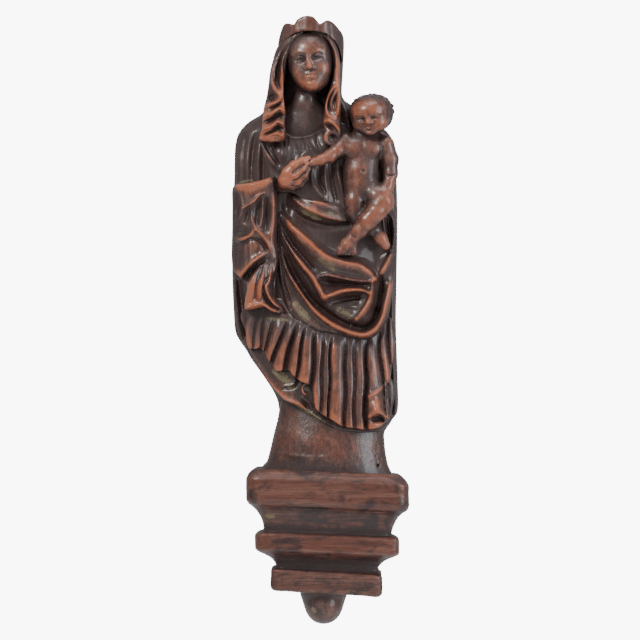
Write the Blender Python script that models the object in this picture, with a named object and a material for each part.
"""A wall-hung devotional figure: a crowned Madonna with the Child, on a plinth and a three-tier console.

The statue is a relief with a flat back in the XZ plane. +X is to the viewer's right, +Z is up and -Y faces
the room. The origin is the point on the wall where the nail carries the hanger ring. Depth means the
distance from the wall towards the room, so a point at depth d has y = -d.
"""

import math

import bmesh
import bpy
from mathutils import Matrix, Vector

MM = 0.001

# Fits
CLEARANCE = 0.3 * MM  # between pieces that meet face to face
OVERSHOOT = 3.0 * MM  # how far a cutter passes the face it cuts

# The figure. Its shapes below are drawn in millimetres from the nail, for these drawn sizes.
DRAWN_WIDTH = 88.2
DRAWN_HEIGHT = 207.5
DRAWN_DEPTH = 37.0
FIGURE_WIDTH = 88.2 * MM
FIGURE_HEIGHT = 207.5 * MM
FIGURE_DEPTH = 37.0 * MM

# The plinth, between the hem and the console
PLINTH_HEIGHT = 31.0 * MM
PLINTH_WIDTH = 59.5 * MM
PLINTH_DEPTH = 28.0 * MM
PLINTH_FLARE = 3.0 * MM
PLINTH_X = 5.0 * MM
HEM_SOCKET = 5.0 * MM  # how far the plinth's neck stands up inside the hem

# The console: three tiers, each a slab with a cove run under it, hung a little out of level
CONSOLE_SKEW = math.radians(2.5)
CONSOLE_X = 5.4 * MM
TIER_CORNER = 2.2 * MM
UPPER_WIDTH = 85.6 * MM
UPPER_DEPTH = 40.0 * MM
UPPER_WEATHERING = (8.0 * MM, 6.0 * MM)
UPPER_FACE = 11.0 * MM
UPPER_COVE = (7.6 * MM, 14.5 * MM)
MIDDLE_WIDTH = 76.4 * MM
MIDDLE_DEPTH = 35.0 * MM
MIDDLE_WEATHERING = (1.4 * MM, 1.2 * MM)
MIDDLE_FACE = 6.6 * MM
MIDDLE_COVE = (9.8 * MM, 10.0 * MM)
LOWER_WIDTH = 57.8 * MM
LOWER_DEPTH = 27.0 * MM
LOWER_WEATHERING = (1.4 * MM, 1.2 * MM)
LOWER_FACE = 9.6 * MM
NOSING = (1.6 * MM, 2.2 * MM)

# The drop knob, turned with its own tenon and cut flat at the wall
KNOB_RADIUS = 12.0 * MM
KNOB_DROP = 14.6 * MM
TENON_RADIUS = 4.0 * MM
TENON_LENGTH = 6.0 * MM

# The crown
CROWN_X = -3.8
CROWN_RADIUS = 17.2
CROWN_DEPTH_RADIUS = 19.0
CROWN_CENTRE_DEPTH = 15.5
CROWN_RIM_SIDE = 45.5
CROWN_RIM_RISE = 6.5
CROWN_BAND = 4.6
CROWN_POINT = 4.6
CROWN_POINTS = 5
CROWN_HALF_SWEEP = math.radians(82)
CROWN_WALL = 3.4 * MM

# Pins, dowels and the rod
ROD_RADIUS = 2.5 * MM
ROD_X = 6.0 * MM
ROD_DEPTH = 13.0 * MM
ROD_IN_FIGURE = 70.0 * MM
DOWEL_RADIUS = 2.0 * MM
DOWEL_LENGTH = 12.0 * MM
DOWEL_SPREAD = 19.0 * MM
DOWEL_DEPTH = 12.0 * MM
CHILD_DOWEL_LENGTH = 12.0 * MM
NECK_PIN_RADIUS = 1.2 * MM
NECK_PIN_LENGTH = 9.0 * MM
CROWN_PIN_RADIUS = 0.7 * MM
CROWN_PIN_LENGTH = 7.0 * MM
CROWN_PIN_ANGLE = math.radians(35)

# The hanger, in a recess cut into the back
NAIL_RADIUS = 1.5 * MM
WIRE_RADIUS = 1.1 * MM
RING_HALF_WIDTH = 6.6 * MM
RING_LEG = 5.0 * MM
STRAP_WIDTH = 9.0 * MM
STRAP_THICKNESS = 1.2 * MM
STRAP_LENGTH = 34.0 * MM
CURL_CLEARANCE = 0.4 * MM
SCREW_HEAD_RADIUS = 2.9 * MM
SCREW_HEAD_HEIGHT = 1.9 * MM
SCREW_SHANK_RADIUS = 1.3 * MM
SCREW_LENGTH = 9.0 * MM
SCREW_SLOT = (0.7 * MM, 0.9 * MM)
SCREW_DROPS = (20.0 * MM, 29.0 * MM)
RECESS_DEPTH = 7.0 * MM
RECESS_MARGIN = 3.0 * MM
PIVOT_Z = -(RING_LEG + RING_HALF_WIDTH - WIRE_RADIUS - NAIL_RADIUS)
CURL_RADIUS = WIRE_RADIUS + CURL_CLEARANCE + STRAP_THICKNESS
PIVOT_DEPTH = RECESS_DEPTH - CLEARANCE - CURL_RADIUS

# Places that follow from the sizes above
WIDE = FIGURE_WIDTH / (DRAWN_WIDTH * MM)
TALL = FIGURE_HEIGHT / (DRAWN_HEIGHT * MM)
DEEP = FIGURE_DEPTH / (DRAWN_DEPTH * MM)
HEM_Z = -147.0 * MM * TALL
PLINTH_FOOT_Z = HEM_Z - PLINTH_HEIGHT
CONSOLE_TOP_Z = PLINTH_FOOT_Z - CLEARANCE
SEAT_DEPTH = 20.0 * MM * DEEP  # the flat seat on the figure that the Child's flat back rests on

PAINT = (0.16, 0.075, 0.052, 1.0)
HEM_ROW = (-147.0, -21.6, 38.0, 33.0)

# Rows of (height, left, right, depth), from the hem to the shoulders
GOWN_ROWS = (
    HEM_ROW,
    (-137.0, -25.8, 41.0, 34.0),
    (-126.3, -32.1, 41.6, 34.5),
    (-115.8, -38.4, 41.6, 35.0),
    (-105.0, -44.2, 41.6, 34.5),
    (-84.0, -45.6, 41.8, 33.0),
    (-58.0, -45.8, 42.3, 31.5),
    (-37.0, -45.4, 42.4, 29.5),
    (-15.0, -44.4, 41.4, 27.0),
    (-4.0, -43.4, 39.6, 25.5),
    (2.6, -40.0, 34.0, 24.0),
    (7.0, -34.0, 28.0, 21.0),
)
VEIL_ROWS = (
    (-6.0, -31.0, 15.0, 24.0),
    (8.0, -29.8, 14.2, 26.0),
    (20.0, -27.2, 13.6, 25.0),
    (32.0, -24.8, 13.2, 23.0),
    (43.0, -21.4, 13.2, 22.0),
    (50.0, -20.0, 12.4, 21.0),
    (55.0, -16.0, 8.5, 18.0),
)
# The cloak's end, thrown over the forearm
SLEEVE_ROWS = (
    (-95.0, -41.0, -17.0, 33.0),
    (-88.0, -44.8, -19.0, 36.4),
    (-60.0, -45.6, -21.0, 36.0),
    (-30.0, -45.2, -21.6, 33.5),
    (-25.0, -44.0, -23.0, 30.0),
)
# The ground behind the Child's head
CHILD_GROUND_ROWS = (
    (-8.0, 10.0, 38.0, 17.0),
    (6.0, 9.0, 37.4, 15.0),
    (14.0, 9.0, 34.0, 13.0),
    (18.0, 8.0, 27.0, 9.0),
)
# Folds, locks, neck and hand, each a run of (x, height, depth, radius)
FIGURE_RUNS = (
    ((-17, -45, 29, 3.2), (-3, -62, 31.5, 3.8), (14, -71, 32.5, 3.6), (29, -77, 29, 2.6)),
    ((-17, -52, 29, 2.8), (-6, -74, 31.5, 3.4), (4, -89, 33, 3.6), (26, -84, 30, 2.6)),
    ((-14, -72, 30, 3.2), (0, -95, 33.5, 4.2), (20, -108, 33.5, 4.4), (33, -104, 30.5, 3.6), (38, -86, 26, 2.6)),
    ((-20, -33, 27, 3.6), (-13, -25, 32, 4.2), (-4.5, -17, 33, 2.6)),
    ((-17, 45, 24, 3.0), (-21, 34, 25, 3.8), (-22, 20, 27, 4.2), (-21, 6, 27.5, 4.2), (-19, -6, 26, 3.0)),
    ((9, 44, 24, 2.6), (10.5, 30, 25, 3.0), (8, 12, 25.5, 3.4), (5, -4, 25, 3.0)),
    ((-4, 20, 21, 7.0), (-7, 4, 19, 8.0), (-8, -14, 17, 10.0)),
    ((-41, -4, 20, 3.0), (-41, -28, 24, 3.4)),
    ((-34, 2, 21, 3.6), (-35, -28, 27, 3.8)),
    ((-27, 2, 23, 3.2), (-27, -28, 28, 3.2)),
    ((-41, -28, 27, 3.0), (-41, -94, 28, 4.0)),
    ((-33, -30, 31, 2.8), (-34, -94, 32, 4.0)),
    ((-26, -30, 31, 2.6), (-27, -92, 33, 3.6)),
    ((-34, -95, 29, 3.0), (-31, -118, 30, 3.2)),
    ((-24, -92, 30, 3.0), (-22, -126, 31, 3.2)),
    ((-14, -88, 30, 3.0), (-14, -134, 31, 3.2)),
    ((-6.8, -94, 30, 2.8), (-6.8, -138, 32, 3.2)),
    ((1.4, -104, 30, 3.0), (1.4, -147, 32, 3.4)),
    ((10.5, -110, 30.5, 3.2), (10.5, -154, 32, 3.4)),
    ((19.5, -112, 30.5, 3.2), (19.5, -156.5, 32, 3.4)),
    ((28.5, -110, 30, 3.2), (28.5, -156.5, 31.5, 3.4)),
    ((37.0, -98, 27, 3.2), (36.0, -152, 29, 3.4)),
    ((39.6, -20, 18, 3.0), (39.4, -96, 22, 3.4)),
)
# Rounded masses: (centre, radii, lean)
FIGURE_BALLS = (
    ((-4.0, 34.5, 22.5), (12.4, 16.0, 14.0), math.radians(10)),
    ((-3.8, 45.0, 15.5), (18.0, 12.0, 23.0), 0.0),
)
# The hollow in which the Child sits, and the hem below the gown
LAP_HOLLOW = ((27.0, -24.0, 42.0), (34.0, 44.0, 20.0))
HEM_ROWS = (
    (-158.0, 6.0, 34.0, 31.0),
    (-151.0, -6.0, 39.0, 33.0),
    (-140.0, -20.0, 40.5, 32.0),
)

# The Child: limbs as runs of (x, height, depth, radius)
CHILD_LIMBS = (
    ((23.5, -12.0, 25, 9.0), (23.0, -24.0, 25.5, 8.6), (24.0, -31.0, 24.5, 9.0)),
    ((26.0, -4.5, 24, 4.6), (24.5, -8.0, 24, 6.0)),
    ((16.0, -8.6, 25, 4.2), (8.5, -14.0, 28, 3.4), (0.5, -16.2, 28.5, 2.6)),
    ((35.0, -9.4, 25, 4.6), (37.6, -23.0, 26, 3.8), (34.8, -34.0, 29, 3.4)),
    ((28.5, -31.5, 25, 6.4), (34.0, -38.5, 29.5, 6.0), (24.0, -49.0, 30.5, 4.4), (17.4, -56.0, 29, 3.2),
     (14.4, -61.5, 27.5, 3.6)),
    ((20.5, -31.0, 25, 6.0), (21.4, -46.0, 25.5, 5.0), (29.0, -53.0, 24.5, 3.6), (34.6, -59.0, 25.5, 3.2),
     (36.6, -66.5, 26.5, 3.8)),
)
CHILD_HEAD_CENTRE = (26.9, 7.0, 25.0)
CHILD_HEAD_RADII = (12.3, 12.6, 11.8)
FUSE_CELL = 0.9 * MM  # grid on which overlapping forms are fused
FIGURE_FACES = 0.028  # share of the fused faces that is kept
CHILD_FACES = 0.08
NEST_GAP = 0.9 * MM  # around the Child's limbs, where they lie in the figure


def clear_scene():
    for old in list(bpy.data.objects):
        bpy.data.objects.remove(old, do_unlink=True)


def material(name, colour, roughness, metallic=0.0):
    made = bpy.data.materials.new(name)
    made.use_nodes = True
    shader = made.node_tree.nodes["Principled BSDF"]
    shader.inputs["Base Color"].default_value = colour
    shader.inputs["Roughness"].default_value = roughness
    shader.inputs["Metallic"].default_value = metallic
    return made


def add_object(name, data, finish=None, parent=None):
    made = bpy.data.objects.new(name, data)
    bpy.context.scene.collection.objects.link(made)
    if finish is not None:
        data.materials.append(finish)
    if parent is not None:
        made.parent = parent
    return made


def mesh_from(name, bm, sharp=40):
    bmesh.ops.remove_doubles(bm, verts=bm.verts, dist=1e-7)
    bmesh.ops.recalc_face_normals(bm, faces=bm.faces)
    mesh = bpy.data.meshes.new(name)
    bm.to_mesh(mesh)
    bm.free()
    mesh.shade_smooth()
    mesh.set_sharp_from_angle(angle=math.radians(sharp))
    return mesh


def as_tool(tool):
    """A helper that only cuts or joins another object."""
    tool.hide_render = True
    tool.display_type = "WIRE"
    return tool


def boolean(target, tool, operation):
    step = target.modifiers.new(f"{operation.lower()}_{tool.name}", "BOOLEAN")
    step.object = as_tool(tool)
    step.operation = operation
    return step


def cut(target, *tools):
    for tool in tools:
        boolean(target, tool, "DIFFERENCE")


def join(target, *tools):
    for tool in tools:
        boolean(target, tool, "UNION")


def loft(bm, rings):
    """Skins rings of equal point counts into one closed shell."""
    made = [[bm.verts.new(point) for point in ring] for ring in rings]
    count = len(made[0])
    for below, above in zip(made, made[1:]):
        for i in range(count):
            j = (i + 1) % count
            bm.faces.new((below[i], below[j], above[j], above[i]))
    bm.faces.new(list(reversed(made[0])))
    bm.faces.new(made[-1])


def figure_point(x, height, depth):
    """A point drawn in millimetres on the figure, at the figure's own size."""
    return Vector((x * MM * WIDE, -depth * MM * DEEP, height * MM * TALL))


def relief_ring(row, points=14, squareness=0.72, back=1.0):
    """A flat-backed, round-fronted section of the figure, its back a little behind the wall plane."""
    height, left, right, depth = row
    centre, half = (left + right) / 2, (right - left) / 2
    ring = []
    for i in range(points + 1):
        angle = math.pi * i / points
        across, out = -math.cos(angle), math.sin(angle)
        x = centre + half * math.copysign(abs(across) ** squareness, across)
        ring.append(figure_point(x, height, depth * max(out, 0.0) ** squareness))
    ring.append(figure_point(right, height, 0) + Vector((0, back * MM, 0)))
    ring.append(figure_point(left, height, 0) + Vector((0, back * MM, 0)))
    return ring


def fused(name, bm, keep, finish, hollow=None):
    """Fuses overlapping closed forms into one body, then thins its faces."""
    made = add_object(name, mesh_from(name, bm, sharp=60), finish)
    fuse = made.modifiers.new("fuse", "REMESH")
    fuse.mode = "VOXEL"
    fuse.voxel_size = FUSE_CELL
    fuse.use_smooth_shade = True
    if hollow is not None:
        cut(made, hollow)
    thin = made.modifiers.new("thin", "DECIMATE")
    thin.ratio = keep
    return made


def add_limbs(bm, runs, segments=12, grow=0.0):
    """Balls joined by cones along each run of (x, height, depth, radius)."""
    size = min(WIDE, TALL, DEEP) * MM
    for run in runs:
        stops = [(figure_point(x, z, d), r * size + grow) for x, z, d, r in run]
        for place, radius in stops:
            bmesh.ops.create_uvsphere(bm, u_segments=segments, v_segments=segments // 2 + 2, radius=radius,
                                      matrix=Matrix.Translation(place))
        for (start, start_radius), (end, end_radius) in zip(stops, stops[1:]):
            along = end - start
            turn = along.to_track_quat("Z", "Y").to_matrix().to_4x4()
            bmesh.ops.create_cone(bm, cap_ends=True, segments=segments, radius1=start_radius,
                                  radius2=end_radius, depth=along.length,
                                  matrix=Matrix.Translation((start + end) / 2) @ turn)


def add_fold(bm, run, sides=8, steps=4):
    """One tube of changing radius, on a smooth line through its stops, with a ball at each end."""
    stops = [(figure_point(x, z, d), r * MM * DEEP) for x, z, d, r in run]
    line = []
    for i in range(len(stops) - 1):
        before, (a, ra), (b, rb), after = (
            stops[max(i - 1, 0)][0], stops[i], stops[i + 1], stops[min(i + 2, len(stops) - 1)][0])
        for k in range(steps):
            t = k / steps
            bend = ((b - before) * t * (1 - t) ** 2 - (after - a) * t * t * (1 - t)) / 2
            line.append((a.lerp(b, t * t * (3 - 2 * t)) + bend, ra + (rb - ra) * t))
    line.append(stops[-1])
    rings = []
    for i, (place, radius) in enumerate(line):
        along = line[min(i + 1, len(line) - 1)][0] - line[max(i - 1, 0)][0]
        turn = along.to_track_quat("Z", "Y")
        rings.append([place + turn @ Vector((radius * math.cos(a), radius * math.sin(a), 0))
                      for a in (2 * math.pi * k / sides for k in range(sides))])
    loft(bm, rings)
    for place, radius in (line[0], line[-1]):
        bmesh.ops.create_uvsphere(bm, u_segments=sides, v_segments=6, radius=radius,
                                  matrix=Matrix.Translation(place))


def add_ball(bm, centre, radii, lean=0.0, segments=20, grow=0.0):
    x, height, depth = radii
    place = figure_point(*centre)
    size = Vector((x * WIDE, depth * DEEP, height * TALL)) * MM + Vector((grow, grow, grow))
    bmesh.ops.create_uvsphere(bm, u_segments=segments, v_segments=segments // 2 + 2, radius=1.0,
                              matrix=Matrix.Translation(place) @ Matrix.Rotation(lean, 4, "Y")
                              @ Matrix.Diagonal((*size, 1.0)))


def ball(name, centre, radii, finish=None, **shape):
    bm = bmesh.new()
    add_ball(bm, centre, radii, **shape)
    return add_object(name, mesh_from(name, bm, sharp=70), finish)


def block(name, low, high, parent=None):
    """A box between two corners, in metres."""
    bm = bmesh.new()
    low, high = Vector(low), Vector(high)
    bmesh.ops.create_cube(bm, size=1.0, matrix=Matrix.Translation((low + high) / 2)
                          @ Matrix.Diagonal((*(high - low), 1.0)))
    return add_object(name, mesh_from(name, bm), parent=parent)


def rod(name, start, end, radius, segments=16, finish=None):
    """A round bar or a bore cutter from start to end."""
    start, end = Vector(start), Vector(end)
    bm = bmesh.new()
    turn = (end - start).to_track_quat("Z", "Y").to_matrix().to_4x4()
    bmesh.ops.create_cone(bm, cap_ends=True, segments=segments, radius1=radius, radius2=radius,
                          depth=(end - start).length, matrix=turn)
    made = add_object(name, mesh_from(name, bm), finish)
    made.location = (start + end) / 2
    return made


def room_side(name):
    """Cuts everything behind the wall plane."""
    reach = 2 * FIGURE_HEIGHT
    return block(name, (-reach, 0, -2 * reach), (reach, reach, reach))


def pin_with_bore(name, start, end, radius, finish):
    """A pin and the cutter of its bore, which is wider and longer by the clearance."""
    start, end = Vector(start), Vector(end)
    along = (end - start).normalized() * CLEARANCE
    pin = rod(name, start, end, radius, finish=finish)
    bore = rod(f"{name}_bore", start - along, end + along, radius + CLEARANCE)
    return pin, bore


# ---------------------------------------------------------------- console


def tier_levels(width, depth, weathering, face, cove=None):
    """(inset, drop) of a tier's outer face, from its top down."""
    run, fall = weathering
    nose_in, nose_drop = NOSING
    levels = [(run, 0.0), (0.0, fall), (0.0, fall + face)]
    if cove is None:
        levels.append((nose_in / 2, fall + face + nose_drop / 2))
        return levels
    levels.append((nose_in, fall + face + nose_drop))
    inset, height = cove
    top = fall + face + nose_drop
    for i in range(1, 8):
        angle = math.pi / 2 * i / 7
        levels.append((nose_in + (inset - nose_in) * math.sin(angle), top + height * (1 - math.cos(angle))))
    return levels


def tier_ring(width, depth, inset, drop):
    """A tier's plan at one height: square to the wall, with round front corners."""
    half, front = width / 2 - inset, depth - inset
    corner = TIER_CORNER
    ring = [Vector((-half, 1.0 * MM, -drop))]
    for side in (-1, 1):
        for i in range(4):
            angle = math.pi / 2 * i / 3
            along = 1 - math.cos(angle) if side < 0 else 1 - math.sin(angle)
            out = 1 - math.sin(angle) if side < 0 else 1 - math.cos(angle)
            ring.append(Vector((side * (half - corner * along), -(front - corner * out), -drop)))
    ring.append(Vector((half, 1.0 * MM, -drop)))
    return ring


def add_tier(name, top, width, depth, weathering, face, cove, frame, finish):
    """A slab with a cove under it, hung from the console's frame. Returns it and its height."""
    levels = tier_levels(width, depth, weathering, face, cove)
    bm = bmesh.new()
    loft(bm, [tier_ring(width, depth, inset, drop) for inset, drop in reversed(levels)])
    made = add_object(name, mesh_from(name, bm, sharp=30), finish, parent=frame)
    made.location = (0, 0, top)
    return made, levels[-1][1]


def add_knob(name, top, frame, finish):
    """The drop knob with its tenon, cut flat at the wall."""
    profile = [(0.0, TENON_LENGTH), (TENON_RADIUS, TENON_LENGTH), (TENON_RADIUS, 0.0), (KNOB_RADIUS, 0.0)]
    straight = KNOB_DROP * 0.3
    profile.append((KNOB_RADIUS * 0.96, -straight))
    for i in range(1, 7):
        angle = math.pi / 2 * i / 6
        profile.append((KNOB_RADIUS * 0.96 * math.cos(angle),
                        -straight - (KNOB_DROP - straight) * math.sin(angle)))
    profile[-1] = (0.0, profile[-1][1])
    made = add_object(name, turned_mesh(name, profile, 28), finish, parent=frame)
    made.location = (0, -(KNOB_RADIUS - 1.0 * MM), top)
    return made


def turned_mesh(name, profile, segments):
    """A solid turned about its own Z from a profile of (radius, height), its ends on the axis."""
    bm = bmesh.new()
    edges = []
    last = None
    for radius, height in profile:
        vert = bm.verts.new((radius, 0, height))
        if last is not None:
            edges.append(bm.edges.new((last, vert)))
        last = vert
    bmesh.ops.spin(bm, geom=list(bm.verts) + edges, cent=(0, 0, 0), axis=(0, 0, 1),
                   angle=2 * math.pi, steps=segments, use_merge=True)
    return mesh_from(name, bm)


# ---------------------------------------------------------------- plinth


def plinth_ring(width, depth, height, x, slope, points=16):
    """A flat-backed round section. slope tips it along X, to sit on the console."""
    ring = []
    for i in range(points + 1):
        angle = math.pi * i / points
        across, out = -math.cos(angle), math.sin(angle)
        dx = width / 2 * math.copysign(abs(across) ** 0.8, across)
        ring.append(Vector((x + dx, -depth * max(out, 0.0) ** 0.8, height - dx * slope)))
    ring.append(Vector((x + width / 2, 1.0 * MM, height - width / 2 * slope)))
    ring.append(Vector((x - width / 2, 1.0 * MM, height + width / 2 * slope)))
    return ring


def add_plinth(name, finish, grow=0.0):
    slope = math.tan(CONSOLE_SKEW)
    foot = PLINTH_FOOT_Z - (PLINTH_X - CONSOLE_X) * slope
    steps = 6
    rings = []
    for i in range(steps + 1):
        t = i / steps
        height = foot + PLINTH_HEIGHT * t
        flare = PLINTH_FLARE * (1 - t) ** 3
        rings.append(plinth_ring(PLINTH_WIDTH + 2 * (flare + grow), PLINTH_DEPTH + flare + grow, height,
                                 PLINTH_X, slope * (1 - t)))
    neck = HEM_Z + HEM_SOCKET + grow
    rings[-1] = plinth_ring(PLINTH_WIDTH + 2 * grow - 4 * MM, PLINTH_DEPTH + grow - 2 * MM, neck, PLINTH_X, 0.0)
    bm = bmesh.new()
    loft(bm, rings)
    return add_object(name, mesh_from(name, bm, sharp=50), finish)


# ---------------------------------------------------------------- figure and Child


def add_figure(finish):
    bm = bmesh.new()
    for i, rows in enumerate((GOWN_ROWS, VEIL_ROWS, SLEEVE_ROWS, CHILD_GROUND_ROWS, HEM_ROWS)):
        loft(bm, [relief_ring(row, back=2.0 + 0.4 * i) for row in rows])
    for run in FIGURE_RUNS:
        add_fold(bm, run)
    for centre, radii, lean in FIGURE_BALLS:
        add_ball(bm, centre, radii, lean)
    return fused("madonna_casting", bm, FIGURE_FACES, finish, hollow=ball("lap_hollow", *LAP_HOLLOW))


def add_child(name, finish, grow=0.0):
    bm = bmesh.new()
    add_limbs(bm, CHILD_LIMBS, grow=grow)
    return fused(name, bm, CHILD_FACES, finish)


# ---------------------------------------------------------------- crown


def crown_mesh(name, wall, grow=0.0, deeper=0.0):
    """An open crown: a curved band with round points, its rim rising over the forehead."""
    stations = 8 * CROWN_POINTS
    rings = []
    outer = Vector((CROWN_RADIUS * MM * WIDE + grow, CROWN_DEPTH_RADIUS * MM * DEEP + grow))
    inner = Vector((outer.x - wall - 2 * grow, outer.y - wall - 2 * grow))
    sweep = CROWN_HALF_SWEEP + (grow / outer.x if grow else 0.0)
    for i in range(stations + 1):
        t = -1 + 2 * i / stations
        angle = sweep * t
        rim = CROWN_RIM_SIDE + CROWN_RIM_RISE * math.cos(angle)
        point = abs(math.cos(math.pi * (CROWN_POINTS * t) / 2)) ** 0.7
        low = rim * MM * TALL - grow
        high = (rim + CROWN_BAND + CROWN_POINT * point * (0.72 + 0.28 * math.cos(angle))) * MM * TALL + deeper
        ring = []
        for radii, height in ((outer, low), (outer, high), (inner, high), (inner, low)):
            ring.append(Vector((CROWN_X * MM * WIDE + radii.x * math.sin(angle),
                                -CROWN_CENTRE_DEPTH * MM * DEEP - radii.y * math.cos(angle), height)))
        rings.append(ring)
    bm = bmesh.new()
    loft(bm, rings)
    return mesh_from(name, bm, sharp=50)


def crown_wall_point(angle, height):
    """A point in the middle of the crown's wall."""
    across = CROWN_RADIUS * MM * WIDE - CROWN_WALL / 2
    out = CROWN_DEPTH_RADIUS * MM * DEEP - CROWN_WALL / 2
    return Vector((CROWN_X * MM * WIDE + across * math.sin(angle),
                   -CROWN_CENTRE_DEPTH * MM * DEEP - out * math.cos(angle), height))


# ---------------------------------------------------------------- hanger


def strap_outline():
    """The strap and its curl as one outline of (depth from the pivot, height from the pivot)."""
    inner, outer = CURL_RADIUS - STRAP_THICKNESS, CURL_RADIUS
    start, sweep, steps = math.radians(180), math.radians(-290), 14
    outline = [(outer, -STRAP_LENGTH), (outer, 0.0)]
    angles = [start + sweep * i / steps for i in range(1, steps + 1)]
    outline += [(-outer * math.cos(a), outer * math.sin(a)) for a in angles]
    outline += [(-inner * math.cos(a), inner * math.sin(a)) for a in reversed(angles)]
    outline += [(inner, 0.0), (inner, -STRAP_LENGTH)]
    return outline


def add_strap(name, finish):
    bm = bmesh.new()
    half = STRAP_WIDTH / 2
    rings = [[Vector((x, -depth, height)) for depth, height in strap_outline()] for x in (-half, half)]
    loft(bm, rings)
    made = add_object(name, mesh_from(name, bm, sharp=30), finish)
    made.location = (0, -PIVOT_DEPTH, PIVOT_Z)
    return made


def add_ring(name, finish):
    """The D-ring, hanging from its bar. Its origin is on the bar's axis."""
    half, leg, bend = RING_HALF_WIDTH, RING_LEG, 1.6 * MM
    line = [(-half + bend, 0.0), (0.0, 0.0), (half - bend, 0.0)]
    line += [(half - bend + bend * math.sin(a), -bend + bend * math.cos(a))
             for a in (math.pi / 6, math.pi / 3, math.pi / 2)]
    steps = 16
    line += [(half * math.cos(math.pi * i / steps), -leg - half * math.sin(math.pi * i / steps))
             for i in range(steps + 1)]
    line += [(-half + bend - bend * math.sin(a), -bend + bend * math.cos(a))
             for a in (math.pi / 2, math.pi / 3, math.pi / 6)]
    curve = bpy.data.curves.new(name, "CURVE")
    curve.dimensions = "3D"
    curve.bevel_depth = WIRE_RADIUS
    curve.bevel_resolution = 2
    spline = curve.splines.new("POLY")
    spline.points.add(len(line) - 1)
    for point, (x, z) in zip(spline.points, line):
        point.co = (x, 0, z, 1)
    spline.use_cyclic_u = True
    made = add_object(name, curve, finish)
    made.location = (0, -PIVOT_DEPTH, PIVOT_Z)
    return made


def add_screw(name, drop, finish):
    """A slotted round-head screw through the strap. Its head faces the wall."""
    head, reach = SCREW_HEAD_RADIUS, SCREW_LENGTH
    profile = [(0.0, SCREW_HEAD_HEIGHT)]
    profile += [(head * math.sin(a), SCREW_HEAD_HEIGHT * (0.35 + 0.65 * math.cos(a)))
                for a in (math.radians(30), math.radians(60), math.radians(90))]
    profile += [(head, 0.0), (SCREW_SHANK_RADIUS, 0.0), (SCREW_SHANK_RADIUS, -reach * 0.75), (0.0, -reach)]
    made = add_object(name, turned_mesh(name, profile, 20), finish)
    strap_top = PIVOT_DEPTH + CURL_RADIUS - STRAP_THICKNESS
    made.location = (0, -(strap_top - CLEARANCE), PIVOT_Z - drop)
    made.rotation_euler = (math.radians(-90), 0, 0)
    width, deep = SCREW_SLOT
    slot = block(f"{name}_slot", (-head - OVERSHOOT, -width / 2, SCREW_HEAD_HEIGHT - deep),
                 (head + OVERSHOOT, width / 2, SCREW_HEAD_HEIGHT + OVERSHOOT), parent=made)
    slot.rotation_euler = (0, 0, math.radians(25))
    cut(made, slot)
    return made


# ---------------------------------------------------------------- assembly


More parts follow.
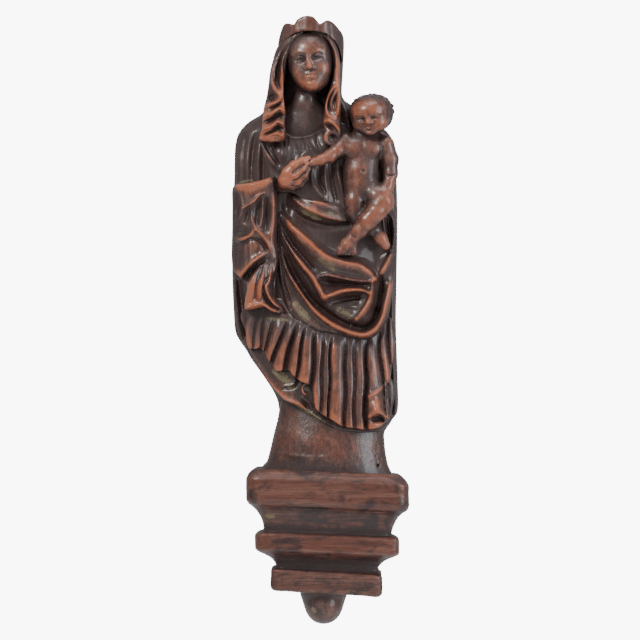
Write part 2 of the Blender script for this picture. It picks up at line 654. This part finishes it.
def build():
    clear_scene()
    plaster = material("painted_plaster", PAINT, 0.42)
    wood = material("beech", (0.55, 0.38, 0.22, 1.0), 0.6)
    steel = material("zinc_steel", (0.62, 0.62, 0.60, 1.0), 0.3, 1.0)
    wall = room_side("wall_cutter")

    # console and knob
    frame = add_object("console_frame", None)
    frame.location = (CONSOLE_X, 0, 0)
    frame.rotation_euler = (0, CONSOLE_SKEW, 0)
    top = CONSOLE_TOP_Z / math.cos(CONSOLE_SKEW)
    frame.location.x -= top * math.sin(CONSOLE_SKEW)
    tiers = []
    for name, width, depth, weathering, face, cove in (
        ("console_upper_tier", UPPER_WIDTH, UPPER_DEPTH, UPPER_WEATHERING, UPPER_FACE, UPPER_COVE),
        ("console_middle_tier", MIDDLE_WIDTH, MIDDLE_DEPTH, MIDDLE_WEATHERING, MIDDLE_FACE, MIDDLE_COVE),
        ("console_lower_tier", LOWER_WIDTH, LOWER_DEPTH, LOWER_WEATHERING, LOWER_FACE, None),
    ):
        tier, height = add_tier(name, top, width, depth, weathering, face, cove, frame, plaster)
        cut(tier, wall)
        tiers.append(tier)
        top -= height + CLEARANCE
    knob = add_knob("drop_knob", top, frame, plaster)
    cut(knob, wall)
    socket = rod("knob_socket", (0, 0, -OVERSHOOT), (0, 0, TENON_LENGTH + CLEARANCE), TENON_RADIUS + CLEARANCE)
    socket.parent = frame
    socket.location = (0, knob.location.y, top + (TENON_LENGTH + CLEARANCE - OVERSHOOT) / 2)
    cut(tiers[-1], socket)

    # plinth
    plinth = add_plinth("plinth", plaster)
    cut(plinth, wall)

    # figure and Child
    figure = add_figure(plaster)
    cut(figure, wall, add_plinth("plinth_socket", None, grow=CLEARANCE))
    child = add_child("child_casting", plaster)
    behind = block("child_back_cutter", (-FIGURE_WIDTH, -SEAT_DEPTH, -FIGURE_HEIGHT),
                   (FIGURE_WIDTH, FIGURE_DEPTH, FIGURE_HEIGHT))
    nest = add_child("child_nest", None, grow=NEST_GAP)
    nest_floor = block("child_nest_floor", (-FIGURE_WIDTH, -SEAT_DEPTH + CLEARANCE, -FIGURE_HEIGHT),
                       (FIGURE_WIDTH, FIGURE_DEPTH, FIGURE_HEIGHT))
    cut(nest, nest_floor)
    head = ball("child_head", CHILD_HEAD_CENTRE, CHILD_HEAD_RADII, plaster, segments=28)
    head_room = ball("child_head_room", CHILD_HEAD_CENTRE, CHILD_HEAD_RADII, segments=28, grow=CLEARANCE)
    cut(child, behind, head_room)
    cut(figure, nest, head_room)

    # crown
    crown = add_object("crown", crown_mesh("crown", CROWN_WALL), plaster)
    cut(figure, add_object("crown_seat", crown_mesh("crown_seat", CROWN_WALL, CLEARANCE, 12 * MM)))

    # pins, dowels and rod
    def drilled(name, start, end, radius, finish, *through):
        pin, bore = pin_with_bore(name, start, end, radius, finish)
        for piece in through:
            boolean(piece, bore, "DIFFERENCE")
        return pin

    for side, label in ((-1, "left"), (1, "right")):
        angle = side * CROWN_PIN_ANGLE
        rim = (CROWN_RIM_SIDE + CROWN_RIM_RISE * math.cos(angle)) * MM * TALL
        drilled(f"crown_pin_{label}", crown_wall_point(angle, rim - CROWN_PIN_LENGTH * 0.6),
                crown_wall_point(angle, rim + CROWN_PIN_LENGTH * 0.4), CROWN_PIN_RADIUS, steel, crown, figure)
        foot = PLINTH_FOOT_Z
        x = CONSOLE_X + side * DOWEL_SPREAD
        drilled(f"plinth_dowel_{label}", (x, -DOWEL_DEPTH, foot - DOWEL_LENGTH / 2),
                (x, -DOWEL_DEPTH, foot + DOWEL_LENGTH / 2), DOWEL_RADIUS, wood, plinth, tiers[0])
    neck = figure_point(26.2, -4.6, 25.0)
    drilled("child_neck_pin", neck - Vector((0, 0, NECK_PIN_LENGTH / 2)), neck + Vector((0, 0, NECK_PIN_LENGTH / 2)),
            NECK_PIN_RADIUS, steel, child, head)
    for label, height in (("upper", -12.0), ("lower", -29.0)):
        at = figure_point(23.5, height, 0)
        drilled(f"child_dowel_{label}", (at.x, -SEAT_DEPTH + CHILD_DOWEL_LENGTH / 2, at.z),
                (at.x, -SEAT_DEPTH - CHILD_DOWEL_LENGTH / 2, at.z), DOWEL_RADIUS, wood, figure, child)
    rod_foot = top + TENON_LENGTH + 2 * MM
    rod_bottom = (ROD_X, -ROD_DEPTH, rod_foot)
    drilled("armature_rod", rod_bottom, (ROD_X, -ROD_DEPTH, HEM_Z + ROD_IN_FIGURE), ROD_RADIUS, steel,
            figure, plinth, *tiers)

    # hanger
    half = RING_HALF_WIDTH + WIRE_RADIUS + RECESS_MARGIN
    ring_reach = RING_LEG + RING_HALF_WIDTH + WIRE_RADIUS
    recess = block("hanger_recess", (-half, -RECESS_DEPTH, PIVOT_Z - STRAP_LENGTH - RECESS_MARGIN),
                   (half, OVERSHOOT, PIVOT_Z + ring_reach + RECESS_MARGIN))
    cut(figure, recess)
    strap = add_strap("hanger_strap", steel)
    add_ring("hanger_ring", steel)
    for name, drop in zip(("hanger_screw_upper", "hanger_screw_lower"), SCREW_DROPS):
        screw = add_screw(name, drop, steel)
        z = screw.location.z
        inner_end = screw.location.y - SCREW_LENGTH - CLEARANCE
        hole = rod(f"{name}_bore", (0, 0, z), (0, inner_end, z), SCREW_SHANK_RADIUS + CLEARANCE)
        cut(figure, hole)
        boolean(strap, hole, "DIFFERENCE")


build()
